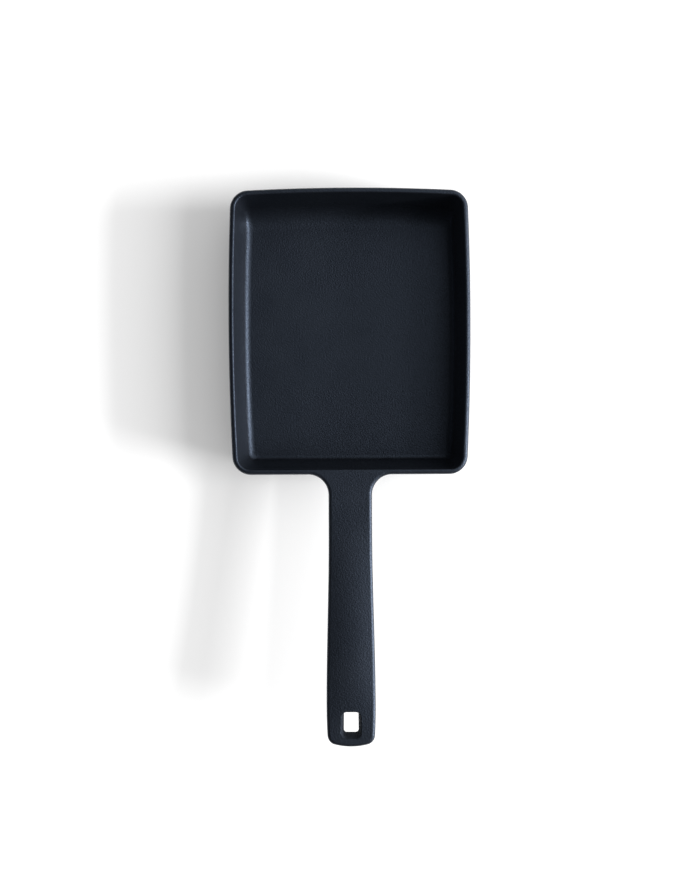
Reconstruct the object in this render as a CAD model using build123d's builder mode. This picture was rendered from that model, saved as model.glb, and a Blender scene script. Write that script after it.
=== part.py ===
"""A cast-iron tamagoyaki pan: a rectangular pan body and a handle cast in one with its near wall.

Millimetres. The origin is the centre of the flat underside, +Z is up, +Y points at the far wall and
the handle runs towards -Y. The pan is one casting, kept here as two solids that meet face to face on
a flat parting plane across the handle's root.
"""
import os
from math import cos, radians, sin, sqrt, tan

from build123d import *

os.makedirs("parts", exist_ok=True)

# Rim of the pan body, seen from above: the sides and the far edge bow outwards
rim_length = 180.0
rim_width_near = 146.5
rim_width_far = 148.6
side_bow = 2.1
far_bow = 2.1
corner_radius = 11.6

# Heights and thicknesses of the pan body
rim_height = 35.0
floor_thickness = 4.0
lip_thickness = 3.5

# Draft of the walls from the vertical, in degrees
side_draft = 6.5
near_draft = 11.0
far_draft = 6.5

# Radii between the walls and the floor, in the cavity and on the underside
side_foot_radius = 4.2
near_foot_radius = 3.0
far_foot_radius = 13.0
floor_corner_radius = 3.5
underside_radius = 8.0

# Rounding of the lip and of the handle's top edge
outer_lip_share = 0.6
inner_lip_share = 0.26

# Handle: lengths along Y from the near edge of the rim, and widths seen from above
handle_length = 166.3
handle_rise = 9.0
handle_thickness = 7.6
handle_root_width = 27.1
handle_end_width = 30.4
handle_straight_length = 36.0
handle_tip_length = 24.5
handle_end_taper = 0.8
handle_end_bow = 2.6
handle_corner_radius = 6.0
handle_under_radius = 3.0
bend_start = 4.0
bend_length = 9.0
crown_height = 1.3
crown_length = 50.0
crown_end_length = 45.0

# Root of the handle: the fillets on the near wall, and how far past them the parting plane lies
root_fillet_radius = 12.7
root_length_share = 1.12

# Hanging hole near the end of the handle, measured at the top
hole_width = 12.7
hole_length = 16.5
hole_corner_radius = 3.6
hole_draft = 11.5
hole_end_margin = 5.0
hole_edge_radius = 0.5

# How far cutting shapes reach past what they cut
overrun = 5.0

# Number of equal steps between the sections that shape the cavity's foot and the handle's blank
foot_steps = 12
blank_steps = 20

outer_lip_radius = outer_lip_share * lip_thickness
inner_lip_radius = inner_lip_share * lip_thickness
cavity_depth = rim_height - floor_thickness
root_length = root_length_share * root_fillet_radius
handle_slope = handle_rise / (handle_length - bend_start - bend_length / 2)


def foot_reach(draft, radius):
    """Distance from where wall and floor would meet to where their fillet leaves the floor."""
    return radius * tan(radians(90 - draft) / 2)


def fillet_top(draft, radius):
    """Height above the floor at which the foot fillet ends on the wall."""
    return radius * (1 - sin(radians(draft)))


def wall_inset(height, draft, radius):
    """Distance of the cavity's wall from the rim line, at a height above the floor."""
    if height >= fillet_top(draft, radius):
        return (cavity_depth - height) * tan(radians(draft))
    floor_inset = cavity_depth * tan(radians(draft)) + foot_reach(draft, radius)
    return floor_inset - sqrt(radius**2 - (radius - height) ** 2)


# The underside's flat, from which the origin is measured
near_base_inset = rim_height * tan(radians(near_draft)) + foot_reach(near_draft, underside_radius)
far_base_inset = rim_height * tan(radians(far_draft)) + foot_reach(far_draft, underside_radius)
rim_centre = (far_base_inset - near_base_inset) / 2
near_edge = rim_centre - rim_length / 2
far_edge = rim_centre + rim_length / 2
parting_edge = near_edge - root_length
end_edge = near_edge - handle_length


def rim_outline(height, side_inset, near_inset, far_inset, radius):
    """The pan's outline on a level plane, drawn in from the rim by its insets."""
    near_half = rim_width_near / 2 - side_inset
    far_half = rim_width_far / 2 - side_inset
    middle_half = (near_half + far_half) / 2 + side_bow
    near_y = near_edge + near_inset
    far_y = far_edge - far_inset
    middle_y = (near_y + far_y) / 2
    with BuildSketch(Plane.XY.offset(height)) as outline:
        with BuildLine():
            near = Line((-near_half, near_y), (near_half, near_y))
            right = ThreePointArc(near @ 1, (middle_half, middle_y), (far_half, far_y - far_bow))
            far = ThreePointArc(right @ 1, (0, far_y), (-far_half, far_y - far_bow))
            ThreePointArc(far @ 1, (-middle_half, middle_y), near @ 0)
        make_face()
        fillet(outline.vertices(), radius=radius)
    return outline.sketch


def cavity_section(height):
    """The cavity's outline at a height above the cooking floor."""
    corner_share = height / cavity_depth
    rim_corner = corner_radius - lip_thickness
    return rim_outline(
        floor_thickness + height,
        lip_thickness + wall_inset(height, side_draft, side_foot_radius),
        lip_thickness + wall_inset(height, near_draft, near_foot_radius),
        lip_thickness + wall_inset(height, far_draft, far_foot_radius),
        floor_corner_radius + (rim_corner - floor_corner_radius) * corner_share,
    )


def handle_lift(distance, start):
    """Rise at a distance from the near edge of a face that is level up to a start, then bends up."""
    past_start = max(distance - start, 0)
    if past_start < bend_length:
        return handle_slope * past_start**2 / (2 * bend_length)
    return handle_slope * (past_start - bend_length / 2)


def handle_top(distance):
    """Height of the handle's top at a distance from the near edge."""
    return rim_height + handle_lift(distance, bend_start)


def smooth_share(length, full_length):
    """A share that grows smoothly from 0 to 1 over a length."""
    share = min(max(length / full_length, 0), 1)
    return share**2 * (3 - 2 * share)


def crown_drop(distance, half_width):
    """How far the top has dropped at that half width: crowned, but flat at the root and the end."""
    from_root = smooth_share(distance - root_length, crown_length)
    from_end = smooth_share(handle_length - distance, crown_end_length)
    return crown_height * from_root * from_end * (2 * half_width / handle_end_width) ** 2


def handle_section(distance):
    """Upright section of the handle's blank, wider than the handle, at a distance from the near edge."""
    half_width = handle_end_width / 2 + overrun
    top = handle_top(distance)
    bottom = rim_height - handle_thickness + handle_lift(distance, root_length)
    shoulder = top - crown_drop(distance, half_width)
    with BuildSketch(Plane.XZ.offset(distance - near_edge)) as section:
        with BuildLine():
            Polyline((-half_width, shoulder), (-half_width, bottom), (half_width, bottom), (half_width, shoulder))
            if shoulder < top:
                ThreePointArc((half_width, shoulder), (0, top), (-half_width, shoulder))
            else:
                Line((half_width, top), (-half_width, top))
        make_face()
    return section.sketch


# Cavity of the pan: a foot in equal steps round its largest fillet, then straight drafted walls that
# run on above the rim
foot_draft, foot_radius = max(
    (side_draft, side_foot_radius),
    (near_draft, near_foot_radius),
    (far_draft, far_foot_radius),
    key=lambda fillet_size: fillet_top(*fillet_size),
)
foot_top = fillet_top(foot_draft, foot_radius)
foot_turn = radians(90 - foot_draft) / foot_steps
foot_heights = [foot_radius * (1 - cos(count * foot_turn)) for count in range(foot_steps + 1)]
with BuildPart() as cavity_foot:
    loft([cavity_section(height) for height in foot_heights])
with BuildPart() as cavity_walls:
    loft([cavity_section(foot_top), cavity_section(cavity_depth + overrun)], ruled=True)

def outer_section(height):
    """The outline of the pan's drafted outer walls at a height above the base."""
    below_rim = rim_height - height
    return rim_outline(
        height,
        below_rim * tan(radians(side_draft)),
        below_rim * tan(radians(near_draft)),
        below_rim * tan(radians(far_draft)),
        corner_radius,
    )


# Pan body with the root of the handle, first drawn higher than its rim
high_top = rim_height + overrun
with BuildPart() as pan_body:
    loft([outer_section(0), outer_section(rim_height), outer_section(high_top)], ruled=True)
    fillet(pan_body.faces().sort_by(Axis.Z)[0].edges(), radius=underside_radius)

    # The root starts inside the near wall and ends at the parting plane
    with BuildSketch(Plane.XZ.offset(-near_edge - 2 * lip_thickness)) as root:
        with Locations((0, high_top)):
            Rectangle(handle_root_width, handle_thickness + overrun, align=(Align.CENTER, Align.MAX))
        fillet(root.vertices().group_by(Axis.Y)[0], radius=handle_under_radius)
    extrude(amount=root_length + 2 * lip_thickness)
    fillet(pan_body.edges(Select.NEW), radius=root_fillet_radius)

    # The top is cut level along the rim, and over the root it bends up into the handle's rise
    bend_y = near_edge - bend_start
    with BuildSketch(Plane.YZ):
        with BuildLine():
            level = Line((far_edge + overrun, rim_height), (bend_y, rim_height))
            bend_end = (bend_y - bend_length, handle_top(bend_start + bend_length))
            bend = Bezier(level @ 1, (bend_y - bend_length / 2, rim_height), bend_end)
            rise = Line(bend @ 1, (parting_edge - overrun, handle_top(root_length + overrun)))
            top_y = high_top + overrun
            Polyline(rise @ 1, (parting_edge - overrun, top_y), (far_edge + overrun, top_y), level @ 0)
        make_face()
    extrude(amount=max(rim_width_near, rim_width_far) / 2 + side_bow + overrun, both=True, mode=Mode.SUBTRACT)

    # The rounded outer lip runs from the rim into the top edges of the root
    top_edges = pan_body.edges().filter_by(lambda edge: edge.bounding_box().min.Z > rim_height - inner_lip_radius)
    across = top_edges.filter_by(Axis.X).filter_by_position(Axis.Y, parting_edge - overrun, bend_y + bend_start / 2)
    fillet(top_edges - across, radius=outer_lip_radius)

    add(cavity_foot.part, mode=Mode.SUBTRACT)
    add(cavity_walls.part, mode=Mode.SUBTRACT)
    rim_face = pan_body.faces().filter_by(Plane.XY).sort_by(Axis.Z)[-1]
    fillet(rim_face.inner_wires()[0].edges(), radius=inner_lip_radius)

pan_body.part.label = "pan_body"
export_step(pan_body.part, "parts/pan_body.step")

# Handle, from the parting plane to its rounded end
past_parting = handle_length - root_length
blank_step = (past_parting + overrun) / blank_steps
with BuildPart() as handle:
    loft([handle_section(root_length + count * blank_step) for count in range(blank_steps + 1)])
    with BuildSketch(Plane.XY) as plan:
        half_root = handle_root_width / 2
        half_end = handle_end_width / 2
        half_tip = half_end - handle_end_taper
        tip_y = end_edge + handle_end_bow
        with BuildLine():
            straight = Line((half_root, parting_edge), (half_root, near_edge - handle_straight_length))
            flare = Spline(
                straight @ 1, (half_end, end_edge + handle_tip_length), tangents=[(0, -1), (0, -1)]
            )
            taper = TangentArc(flare @ 1, (half_tip, tip_y), tangent=(0, -1))
            ThreePointArc((half_tip, tip_y), (0, end_edge), (-half_tip, tip_y))
            mirror([straight, flare, taper], about=Plane.YZ)
            Line((half_root, parting_edge), (-half_root, parting_edge))
        make_face()
        fillet(plan.vertices().group_by(Axis.Y)[0], radius=handle_corner_radius)
    extrude(amount=rim_height + handle_rise + overrun, mode=Mode.INTERSECT)

    # Top and underside edges are rounded all round but at the parting plane
    underside = handle.faces().filter_by(lambda face: face.normal_at().Z < -0.9)[0]
    fillet(underside.edges().sort_by(Axis.Y)[:-1], radius=handle_under_radius)
    top = handle.faces().filter_by(lambda face: face.normal_at().Z > 0.9)[0]
    fillet(top.edges().sort_by(Axis.Y)[:-1], radius=outer_lip_radius)

    # The hanging hole narrows downwards, as its core is drawn out upwards
    hole_top = handle_top(handle_length)
    with BuildSketch(Plane.XY.offset(hole_top)):
        with Locations((0, end_edge + hole_end_margin + hole_length / 2)):
            RectangleRounded(hole_width, hole_length, hole_corner_radius)
    extrude(amount=-handle_thickness - overrun, taper=hole_draft, mode=Mode.SUBTRACT)
    top = handle.faces().filter_by(lambda face: face.normal_at().Z > 0.9)[0]
    fillet(top.inner_wires()[0].edges(), radius=hole_edge_radius)

handle.part.label = "handle"
export_step(handle.part, "parts/handle.step")
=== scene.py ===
"""Looks, light and camera of a cast-iron tamagoyaki pan, laid out as a Blender add-on.

Everything is in metres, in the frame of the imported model: +Z is up, +Y points at the far wall, and the
handle runs towards -Y.
"""
from math import cos, radians, sin

import bpy
from bpy.props import FloatProperty, FloatVectorProperty, PointerProperty
from bpy.types import Operator, Panel, PropertyGroup
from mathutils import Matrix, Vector


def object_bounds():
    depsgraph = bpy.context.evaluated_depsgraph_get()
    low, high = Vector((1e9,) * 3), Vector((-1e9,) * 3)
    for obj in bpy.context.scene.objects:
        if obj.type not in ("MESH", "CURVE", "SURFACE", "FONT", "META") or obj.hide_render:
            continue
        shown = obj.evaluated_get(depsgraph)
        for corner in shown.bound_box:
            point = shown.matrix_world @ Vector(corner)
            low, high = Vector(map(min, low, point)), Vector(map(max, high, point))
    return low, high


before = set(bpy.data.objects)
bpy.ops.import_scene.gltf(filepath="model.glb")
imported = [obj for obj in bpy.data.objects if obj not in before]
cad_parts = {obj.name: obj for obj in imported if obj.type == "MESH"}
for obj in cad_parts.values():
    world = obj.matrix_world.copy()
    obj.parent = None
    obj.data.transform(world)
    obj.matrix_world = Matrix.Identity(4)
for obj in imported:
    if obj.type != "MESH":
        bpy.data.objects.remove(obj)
cad_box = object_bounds()

bl_info = {
    "name": "Tamagoyaki Pan",
    "version": (1, 0, 0),
    "blender": (4, 5, 0),
    "location": "View3D > Sidebar > Pan",
    "description": "Dresses a cast-iron tamagoyaki pan and sets its stage",
    "category": "Object",
}

# The photograph's frame, in pixels
FRAME_HEIGHT = 875


class IronSettings(PropertyGroup):
    """Sizes and colours of the cast skin."""

    skin_color: FloatVectorProperty(
        name="Skin colour",
        description="Blue-black of the fired cast skin",
        subtype="COLOR",
        size=4,
        min=0.0,
        max=1.0,
        default=(0.003, 0.0038, 0.0055, 1.0),
    )
    mottle_color: FloatVectorProperty(
        name="Mottle colour",
        description="Slightly paler, greyer patches of the skin",
        subtype="COLOR",
        size=4,
        min=0.0,
        max=1.0,
        default=(0.005, 0.0058, 0.0075, 1.0),
    )
    mottle_size: FloatProperty(
        name="Mottle size",
        description="Width of the paler patches",
        unit="LENGTH",
        default=0.022,
    )
    pebble_size: FloatProperty(
        name="Pebble size",
        description="Width of the bumps that the sand mould leaves",
        unit="LENGTH",
        default=0.001,
    )
    pebble_height: FloatProperty(
        name="Pebble height",
        description="Height of those bumps",
        unit="LENGTH",
        precision=5,
        default=0.00025,
    )
    grain_size: FloatProperty(
        name="Grain size",
        description="Width of the fine grain on the bumps",
        unit="LENGTH",
        precision=5,
        default=0.00035,
    )
    grain_share: FloatProperty(
        name="Grain share",
        description="Share of the relief that the fine grain makes",
        subtype="FACTOR",
        min=0.0,
        max=1.0,
        default=0.3,
    )
    gloss_color: FloatVectorProperty(
        name="Gloss colour",
        description="Cool tint of the skin's reflections",
        subtype="COLOR",
        size=4,
        min=0.0,
        max=1.0,
        default=(0.57, 0.72, 1.0, 1.0),
    )
    roughness: FloatProperty(
        name="Roughness",
        description="Mean roughness of the satin skin",
        subtype="FACTOR",
        min=0.0,
        max=1.0,
        default=0.43,
    )
    roughness_spread: FloatProperty(
        name="Roughness spread",
        description="How far the mottling takes the roughness from its mean",
        subtype="FACTOR",
        min=0.0,
        max=1.0,
        default=0.06,
    )
    refraction: FloatProperty(
        name="Refraction",
        description="Refractive index of the fired skin",
        default=1.5,
    )
    hole_place: FloatVectorProperty(
        name="Hole place",
        description="Centre of the hanging hole, whose wall keeps the sand mould's raw skin",
        unit="LENGTH",
        size=3,
        default=(0.0, -0.2442, 0.0391),
    )
    hole_width: FloatProperty(
        name="Hole width",
        description="Width of the hanging hole",
        unit="LENGTH",
        default=0.0128,
    )
    hole_length: FloatProperty(
        name="Hole length",
        description="Length of the hanging hole along the handle",
        unit="LENGTH",
        default=0.0166,
    )
    raw_roughness: FloatProperty(
        name="Raw roughness",
        description="Roughness of the hole's wall",
        subtype="FACTOR",
        min=0.0,
        max=1.0,
        default=1.0,
    )


class StageSettings(PropertyGroup):
    """Camera, floor and lights."""

    camera_height: FloatProperty(
        name="Camera height",
        description="Height of the camera above the floor",
        unit="LENGTH",
        default=0.555,
    )
    camera_y: FloatProperty(
        name="Camera place",
        description="Place of the camera along the pan, straight above it",
        unit="LENGTH",
        default=-0.0676,
    )
    camera_roll: FloatProperty(
        name="Camera roll",
        description="Turn of the camera about its line of sight",
        subtype="ANGLE",
        default=radians(-0.25),
    )
    focal_pixels: FloatProperty(
        name="Focal length",
        description="Focal length in pixels of the photograph's frame",
        default=834.9,
    )
    floor_size: FloatProperty(
        name="Floor size",
        description="Side of the square floor",
        unit="LENGTH",
        default=2.6,
    )
    floor_color: FloatVectorProperty(
        name="Floor colour",
        description="Colour of the plain floor",
        subtype="COLOR",
        size=4,
        min=0.0,
        max=1.0,
        default=(0.9, 0.9, 0.9, 1.0),
    )
    key_angles: FloatVectorProperty(
        name="Key angles",
        description="Azimuth from +X towards -Y and elevation of the low key light on the right",
        unit="ROTATION",
        size=2,
        default=(radians(8), radians(20.2)),
    )
    key_distance: FloatProperty(
        name="Key distance",
        description="Distance of the low key light on the right from the pan",
        unit="LENGTH",
        default=5.0,
    )
    key_size: FloatVectorProperty(
        name="Key size",
        description="Width and height of the low key light on the right",
        unit="LENGTH",
        size=2,
        default=(2.1, 0.52),
    )
    key_power: FloatProperty(
        name="Key power",
        description="Power of the low key light on the right",
        unit="POWER",
        default=300,
    )
    soft_angles: FloatVectorProperty(
        name="Soft angles",
        description="Azimuth from +X towards -Y and elevation of the soft light above the key",
        unit="ROTATION",
        size=2,
        default=(radians(8), radians(32.5)),
    )
    soft_distance: FloatProperty(
        name="Soft distance",
        description="Distance of the soft light above the key from the pan",
        unit="LENGTH",
        default=3.5,
    )
    soft_size: FloatVectorProperty(
        name="Soft size",
        description="Width and height of the soft light above the key",
        unit="LENGTH",
        size=2,
        default=(1.9, 1.7),
    )
    soft_power: FloatProperty(
        name="Soft power",
        description="Power of the soft light above the key",
        unit="POWER",
        default=86,
    )
    fill_strength: FloatProperty(
        name="Fill strength",
        description="Brightness of the even light from all sides, where 1 is white",
        default=0.66,
    )
    gloss_direction: FloatVectorProperty(
        name="Bright direction",
        description="Direction in which reflections show the brightest surroundings",
        subtype="DIRECTION",
        size=3,
        default=(0.95, 0.28, 0.35),
    )
    gloss_limit: FloatProperty(
        name="Dark limit",
        description="Cosine of the angle from that direction at which reflections turn dark",
        default=0.2,
    )
    gloss_dark: FloatProperty(
        name="Dark side",
        description="Brightness that reflections show away from the lamps",
        default=0.04,
    )
    gloss_bright: FloatProperty(
        name="Bright side",
        description="Brightness that reflections show towards the lamps",
        default=2.4,
    )


def new_node(tree, kind, place, **values):
    """Adds a node to a tree at a grid place and sets its properties and inputs."""
    node = tree.nodes.new(kind)
    node.location = (place[0] * 200, place[1] * 200)
    for name, value in values.items():
        if name in node.inputs:
            node.inputs[name].default_value = value
        else:
            setattr(node, name, value)
    return node


def iron_material(settings):
    """The cast skin: mottled blue-black satin with fine mould pebbles, and raw in the hanging hole."""
    material = bpy.data.materials.new("cast_iron_skin")
    material.use_nodes = True
    tree = material.node_tree
    tree.nodes.clear()
    link = tree.links.new
    place = new_node(tree, "ShaderNodeTexCoord", (-5, 0))

    mottle = new_node(tree, "ShaderNodeTexNoise", (-4, 2), Scale=1 / settings.mottle_size, Detail=3.0)
    tint = new_node(tree, "ShaderNodeMix", (-1, 2), data_type="RGBA")
    tint.inputs["A"].default_value = settings.skin_color
    tint.inputs["B"].default_value = settings.mottle_color

    pebbles = new_node(tree, "ShaderNodeTexNoise", (-4, 0), Scale=1 / settings.pebble_size, Detail=1.0)
    grain = new_node(tree, "ShaderNodeTexNoise", (-4, -1), Scale=1 / settings.grain_size, Detail=0.0)
    relief = new_node(tree, "ShaderNodeMix", (-3, 0), data_type="FLOAT", Factor=settings.grain_share)
    bump = new_node(tree, "ShaderNodeBump", (-1, 0), Strength=1.0, Distance=settings.pebble_height)

    rough = new_node(tree, "ShaderNodeMapRange", (-2, 1))
    rough.inputs["To Min"].default_value = settings.roughness - settings.roughness_spread
    rough.inputs["To Max"].default_value = settings.roughness + settings.roughness_spread

    offset = new_node(tree, "ShaderNodeVectorMath", (-5, 3), operation="SUBTRACT")
    offset.inputs[1].default_value = settings.hole_place
    reach = new_node(tree, "ShaderNodeVectorMath", (-4, 3), operation="ABSOLUTE")
    sides = new_node(tree, "ShaderNodeSeparateXYZ", (-3, 3))
    across = new_node(tree, "ShaderNodeMath", (-2, 4), operation="LESS_THAN")
    across.inputs[1].default_value = settings.hole_width / 2
    along = new_node(tree, "ShaderNodeMath", (-2, 3), operation="LESS_THAN")
    along.inputs[1].default_value = settings.hole_length / 2
    hole = new_node(tree, "ShaderNodeMath", (-1, 3), operation="MULTIPLY")
    finish = new_node(tree, "ShaderNodeMix", (-1, 1), data_type="FLOAT")
    finish.inputs["B"].default_value = settings.raw_roughness

    skin = new_node(tree, "ShaderNodeBsdfPrincipled", (0, 0), IOR=settings.refraction)
    skin.inputs["Specular Tint"].default_value = settings.gloss_color
    output = new_node(tree, "ShaderNodeOutputMaterial", (1, 0))

    for texture in (mottle, pebbles, grain):
        link(place.outputs["Object"], texture.inputs["Vector"])
    link(mottle.outputs["Fac"], tint.inputs["Factor"])
    link(tint.outputs["Result"], skin.inputs["Base Color"])
    link(pebbles.outputs["Fac"], relief.inputs["A"])
    link(grain.outputs["Fac"], relief.inputs["B"])
    link(relief.outputs["Result"], bump.inputs["Height"])
    link(bump.outputs["Normal"], skin.inputs["Normal"])
    link(mottle.outputs["Fac"], rough.inputs["Value"])
    link(place.outputs["Object"], offset.inputs[0])
    link(offset.outputs["Vector"], reach.inputs[0])
    link(reach.outputs["Vector"], sides.inputs["Vector"])
    link(sides.outputs["X"], across.inputs[0])
    link(sides.outputs["Y"], along.inputs[0])
    link(across.outputs["Value"], hole.inputs[0])
    link(along.outputs["Value"], hole.inputs[1])
    link(hole.outputs["Value"], finish.inputs["Factor"])
    link(rough.outputs["Result"], finish.inputs["A"])
    link(finish.outputs["Result"], skin.inputs["Roughness"])
    link(skin.outputs["BSDF"], output.inputs["Surface"])
    return material


class PAN_OT_dress_casting(Operator):
    """Gives the pan body and the handle their cast-iron skin."""

    bl_idname = "pan.dress_casting"
    bl_label = "Dress Casting"

    def execute(self, context):
        skin = iron_material(context.scene.pan_iron)
        for name in ("pan_body", "handle"):
            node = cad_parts[name]
            node.data.materials.clear()
            node.data.materials.append(skin)
        return {"FINISHED"}


def aim(thing, place, target):
    """Puts a light or camera at a place and turns it to a target."""
    thing.location = place
    thing.rotation_euler = (Vector(target) - Vector(place)).to_track_quat("-Z", "Y").to_euler()


class PAN_OT_set_stage(Operator):
    """Adds the plain floor, the soft lights and the camera straight above the pan."""

    bl_idname = "pan.set_stage"
    bl_label = "Set Stage"

    def execute(self, context):
        stage = context.scene.pan_stage
        self.add_floor(context, stage)
        for name in ("key", "soft"):
            self.add_lamp(context, stage, name)
        self.add_surroundings(context, stage)
        self.add_camera(context, stage)
        context.scene.view_settings.view_transform = "Standard"
        return {"FINISHED"}

    def add_floor(self, context, stage):
        half = stage.floor_size / 2
        mesh = bpy.data.meshes.new("floor")
        corners = [(-half, -half, 0), (half, -half, 0), (half, half, 0), (-half, half, 0)]
        mesh.from_pydata(corners, [], [(0, 1, 2, 3)])
        floor = bpy.data.objects.new("floor", mesh)
        context.scene.collection.objects.link(floor)
        paper = bpy.data.materials.new("floor_paper")
        paper.use_nodes = True
        shader = paper.node_tree.nodes["Principled BSDF"]
        shader.inputs["Base Color"].default_value = stage.floor_color
        shader.inputs["Roughness"].default_value = 1.0
        shader.inputs["Specular IOR Level"].default_value = 0.0
        mesh.materials.append(paper)

    def add_lamp(self, context, stage, name):
        """Adds an area light by its name in the settings, aimed at the pan."""
        low, high = cad_box
        target = (low + high) / 2
        azimuth, elevation = getattr(stage, name + "_angles")
        level = cos(elevation)
        direction = Vector((level * cos(azimuth), -level * sin(azimuth), sin(elevation)))
        distance = getattr(stage, name + "_distance")
        light = bpy.data.lights.new(name, "AREA")
        light.shape = "RECTANGLE"
        light.size, light.size_y = getattr(stage, name + "_size")
        light.energy = getattr(stage, name + "_power")
        lamp = bpy.data.objects.new(name, light)
        context.scene.collection.objects.link(lamp)
        aim(lamp, target + distance * direction, target)

    def add_surroundings(self, context, stage):
        """Shows white to the camera, an even fill to the scene, and a dome to reflections.

        The dome is bright towards the lamps and dark away from them.
        """
        world = bpy.data.worlds.new("studio")
        context.scene.world = world
        world.use_nodes = True
        tree = world.node_tree
        tree.nodes.clear()
        direction = new_node(tree, "ShaderNodeTexCoord", (-5, 0))
        facing = new_node(tree, "ShaderNodeVectorMath", (-4, 0), operation="DOT_PRODUCT")
        facing.inputs[1].default_value = Vector(stage.gloss_direction).normalized()
        dome = new_node(tree, "ShaderNodeMapRange", (-3, 0), interpolation_type="SMOOTHSTEP")
        dome.inputs["From Min"].default_value = stage.gloss_limit
        dome.inputs["To Min"].default_value = stage.gloss_dark
        dome.inputs["To Max"].default_value = stage.gloss_bright
        ray = new_node(tree, "ShaderNodeLightPath", (-3, 2))
        strength = new_node(tree, "ShaderNodeMix", (-2, 0), data_type="FLOAT")
        strength.inputs["A"].default_value = stage.fill_strength
        fill = new_node(tree, "ShaderNodeBackground", (-1, 0))
        backdrop = new_node(tree, "ShaderNodeBackground", (-1, -1), Strength=1.0)
        seen = new_node(tree, "ShaderNodeMixShader", (0, 0))
        output = new_node(tree, "ShaderNodeOutputWorld", (1, 0))
        white = (1.0, 1.0, 1.0, 1.0)
        fill.inputs["Color"].default_value = white
        backdrop.inputs["Color"].default_value = white
        tree.links.new(direction.outputs["Generated"], facing.inputs[0])
        tree.links.new(facing.outputs["Value"], dome.inputs["Value"])
        tree.links.new(ray.outputs["Is Glossy Ray"], strength.inputs["Factor"])
        tree.links.new(dome.outputs["Result"], strength.inputs["B"])
        tree.links.new(strength.outputs["Result"], fill.inputs["Strength"])
        tree.links.new(ray.outputs["Is Camera Ray"], seen.inputs["Fac"])
        tree.links.new(fill.outputs["Background"], seen.inputs[1])
        tree.links.new(backdrop.outputs["Background"], seen.inputs[2])
        tree.links.new(seen.outputs["Shader"], output.inputs["Surface"])

    def add_camera(self, context, stage):
        eye = bpy.data.cameras.new("camera")
        eye.lens = stage.focal_pixels * eye.sensor_width / FRAME_HEIGHT
        camera = bpy.data.objects.new("camera", eye)
        context.scene.collection.objects.link(camera)
        camera.location = (0, stage.camera_y, stage.camera_height)
        camera.rotation_euler.z = stage.camera_roll
        context.scene.camera = camera


class PAN_PT_sidebar(Panel):
    """Lists the steps that dress the pan, with their sizes and colours."""

    bl_idname = "PAN_PT_sidebar"
    bl_label = "Tamagoyaki Pan"
    bl_space_type = "VIEW_3D"
    bl_region_type = "UI"
    bl_category = "Pan"

    def draw(self, context):
        layout = self.layout
        for step, group in ((PAN_OT_dress_casting, "pan_iron"), (PAN_OT_set_stage, "pan_stage")):
            settings = getattr(context.scene, group)
            layout.operator(step.bl_idname)
            for name in settings.bl_rna.properties.keys():
                if name not in ("rna_type", "name"):
                    layout.prop(settings, name)


CLASSES = (IronSettings, StageSettings, PAN_OT_dress_casting, PAN_OT_set_stage, PAN_PT_sidebar)


def register():
    for item in CLASSES:
        bpy.utils.register_class(item)
    bpy.types.Scene.pan_iron = PointerProperty(type=IronSettings)
    bpy.types.Scene.pan_stage = PointerProperty(type=StageSettings)


def unregister():
    del bpy.types.Scene.pan_stage
    del bpy.types.Scene.pan_iron
    for item in reversed(CLASSES):
        bpy.utils.unregister_class(item)


def main():
    register()
    bpy.ops.pan.dress_casting()
    bpy.ops.pan.set_stage()


if __name__ == "__main__":
    main()
